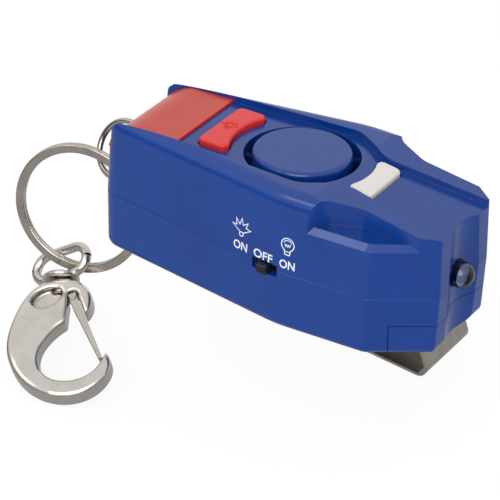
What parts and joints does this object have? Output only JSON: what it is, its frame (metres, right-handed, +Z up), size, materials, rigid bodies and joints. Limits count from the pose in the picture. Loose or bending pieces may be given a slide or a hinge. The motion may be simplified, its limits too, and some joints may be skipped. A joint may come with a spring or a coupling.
{
  "type": "personal safety alarm",
  "caption": "Pocket personal alarm: round siren cover, red strobe window, push buttons, slide switch, torch, belt clip and swivel snap hook on a key ring.",
  "frame": {"origin": "on the case underside plane at mid length and mid width, inside the belt clip gap", "axes": "+X from the keyring end to the torch end, +Z up through the buttons, +Y away from the slide switch"},
  "size_m": [0.0955, 0.045, 0.0556],
  "materials": {
    "blue_abs": "moulded ABS, fine satin gloss",
    "red_window": "translucent moulded polycarbonate",
    "red_abs": "moulded ABS",
    "white_abs": "moulded ABS",
    "black_nylon": "moulded nylon",
    "clear_epoxy": "cast clear epoxy",
    "red_epoxy": "cast tinted epoxy",
    "tinned_frame": "tinned steel",
    "spring_steel": "nickel plated spring steel",
    "nickel_wire": "nickel plated drawn wire",
    "nickel_steel": "nickel plated flat steel wire",
    "nickel_cast": "nickel plated zinc casting",
    "nickel_sheet": "nickel plated folded sheet",
    "green_board": "solder mask on glass laminate",
    "switch_steel": "pressed steel can",
    "sounder_brass": "rolled brass",
    "grey_foam": "closed cell foam",
    "ferrite": "sintered ferrite drum",
    "chip_epoxy": "moulded epoxy",
    "cell_can": "plain printed steel can",
    "contact_nickel": "nickel plated strip",
    "zinc_screw": "zinc plated steel"
  },
  "bodies": {
    "case": {"upper_case": "blue_abs", "lower_case": "blue_abs", "strobe_lens": "red_window", "torch_led": "clear_epoxy", "torch_frame": "tinned_frame", "pcb": "green_board", "switch_housing": "switch_steel", "alarm_tact": "black_nylon", "light_tact": "black_nylon", "siren_disc": "sounder_brass", "siren_gasket": "grey_foam", "boost_coil": "ferrite", "driver_chip": "chip_epoxy", "strobe_leds": "red_epoxy", "battery_a": "cell_can", "battery_b": "cell_can", "contact_front": "contact_nickel", "contact_rear": "contact_nickel", "case_screws": "zinc_screw"},
    "door": {"battery_door": "blue_abs", "belt_clip": "spring_steel"},
    "alarm_key": {"alarm_button": "red_abs"},
    "light_key": {"light_button": "white_abs"},
    "knob": {"switch_knob": "black_nylon"},
    "wire_link": {"wire_ring": "nickel_wire"},
    "key_ring": {"split_ring": "nickel_steel"},
    "eye": {"swivel_eye": "nickel_cast"},
    "hook": {"hook_body": "nickel_cast", "gate_pin": "nickel_sheet", "gate_spring": "spring_steel"},
    "gate": {"hook_gate": "nickel_sheet"}
  },
  "joints": [
    {"name": "alarm_press", "type": "slide", "parent": "case", "child": "alarm_key", "axis": [0, 0, -1], "range_m": [0, 0.0004], "stiffness_N_per_m": 2000, "springref_m": -0.0002},
    {"name": "light_press", "type": "slide", "parent": "case", "child": "light_key", "axis": [0, 0, -1], "range_m": [0, 0.0004], "stiffness_N_per_m": 2000, "springref_m": -0.0002},
    {"name": "switch_slide", "type": "slide", "parent": "case", "child": "knob", "axis": [1, 0, 0], "range_m": [-0.0015, 0.0015]},
    {"name": "door_slide", "type": "slide", "parent": "case", "child": "door", "axis": [1, 0, 0], "range_m": [0, 0.056]},
    {"name": "wire_swing", "type": "hinge", "parent": "case", "child": "wire_link", "pos_m": [-0.0341, 0, 0.0149], "axis": [0, 1, 0], "range_deg": [-8, 4]},
    {"name": "split_swing", "type": "hinge", "parent": "wire_link", "child": "key_ring", "pos_m": [-0.04257, -0.0002, 0.01169], "axis": [0.4846, -0.5174, -0.7053], "range_deg": [-85, 6]},
    {"name": "eye_swing", "type": "hinge", "parent": "key_ring", "child": "eye", "pos_m": [-0.04732, -0.00469, -0.01101], "axis": [0.9638, 0.1669, -0.2081], "range_deg": [-12, 12]},
    {"name": "hook_swivel", "type": "hinge", "parent": "eye", "child": "hook", "pos_m": [-0.04818, -0.00465, -0.01119], "axis": [0.4646, -0.718, -0.5183], "continuous": true},
    {"name": "gate_open", "type": "hinge", "parent": "hook", "child": "gate", "pos_m": [-0.04188, -0.00956, -0.01532], "axis": [-0.1593, 0.5079, -0.8465], "range_deg": [0, 26], "stiffness_Nm_per_rad": 0.004, "springref_deg": -20.05, "deforming": ["gate_spring"]}
  ]
}
